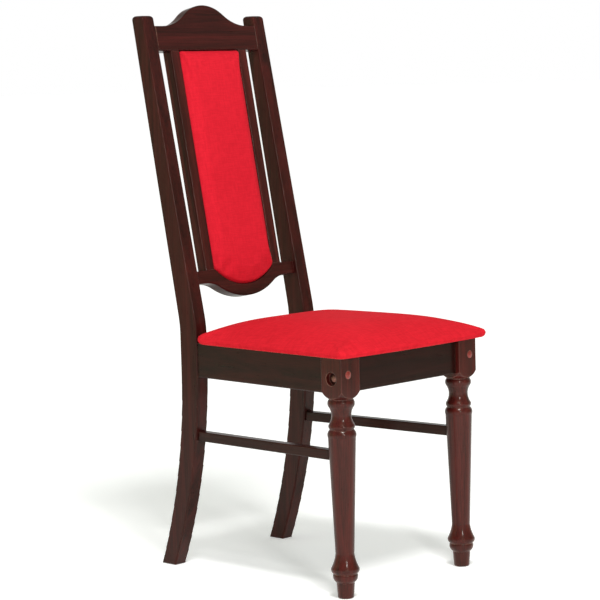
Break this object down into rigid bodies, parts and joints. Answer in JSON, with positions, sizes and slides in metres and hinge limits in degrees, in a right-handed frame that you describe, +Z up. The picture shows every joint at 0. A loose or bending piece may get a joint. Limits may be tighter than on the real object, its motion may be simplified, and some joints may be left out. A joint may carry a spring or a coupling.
{
  "type": "high-back side chair",
  "caption": "high-back wooden side chair with turned front legs, sabre rear legs, padded red seat and padded back panel",
  "frame": {"origin": "on the floor, at the centre of the chair's bounding box in plan", "axes": "+Z up; the chair faces -Y; +X is the sitter's left"},
  "size_m": [0.4024, 0.5588, 1.0584],
  "materials": {
    "stained_wood": "dark red-brown stain under satin-gloss lacquer",
    "plain_wood": "unfinished",
    "red_fabric": "fine woven upholstery cloth",
    "dark_cloth": "non-woven lining cloth",
    "foam": "open-cell foam",
    "zinc_steel": "zinc plated",
    "red_plug": "gloss"
  },
  "bodies": {
    "root": {"front_leg_right": "stained_wood", "front_leg_left": "stained_wood", "rear_leg_right": "stained_wood", "rear_leg_left": "stained_wood", "front_apron": "stained_wood", "rear_apron": "stained_wood", "side_apron_right": "stained_wood", "side_apron_left": "stained_wood", "side_stretcher_right": "stained_wood", "side_stretcher_left": "stained_wood", "crest_rail": "stained_wood", "lower_back_rail": "stained_wood", "back_slat_right": "stained_wood", "back_slat_left": "stained_wood", "back_panel_board": "plain_wood", "back_panel_padding": "foam", "back_panel_cover": "red_fabric", "back_panel_rear_cover": "red_fabric", "seat_board": "plain_wood", "seat_padding": "foam", "seat_cover": "red_fabric", "seat_dust_cloth": "dark_cloth", "corner_block_front_right": "plain_wood", "corner_block_front_left": "plain_wood", "corner_block_rear_right": "plain_wood", "corner_block_rear_left": "plain_wood", "corner_block_lag_screws": "zinc_steel", "seat_screws": "zinc_steel", "leg_bolts": "zinc_steel", "barrel_nuts": "zinc_steel", "leg_screws": "zinc_steel", "leg_plugs": "red_plug", "apron_dowels": "plain_wood", "back_rail_dowels": "plain_wood"}
  },
  "joints": []
}
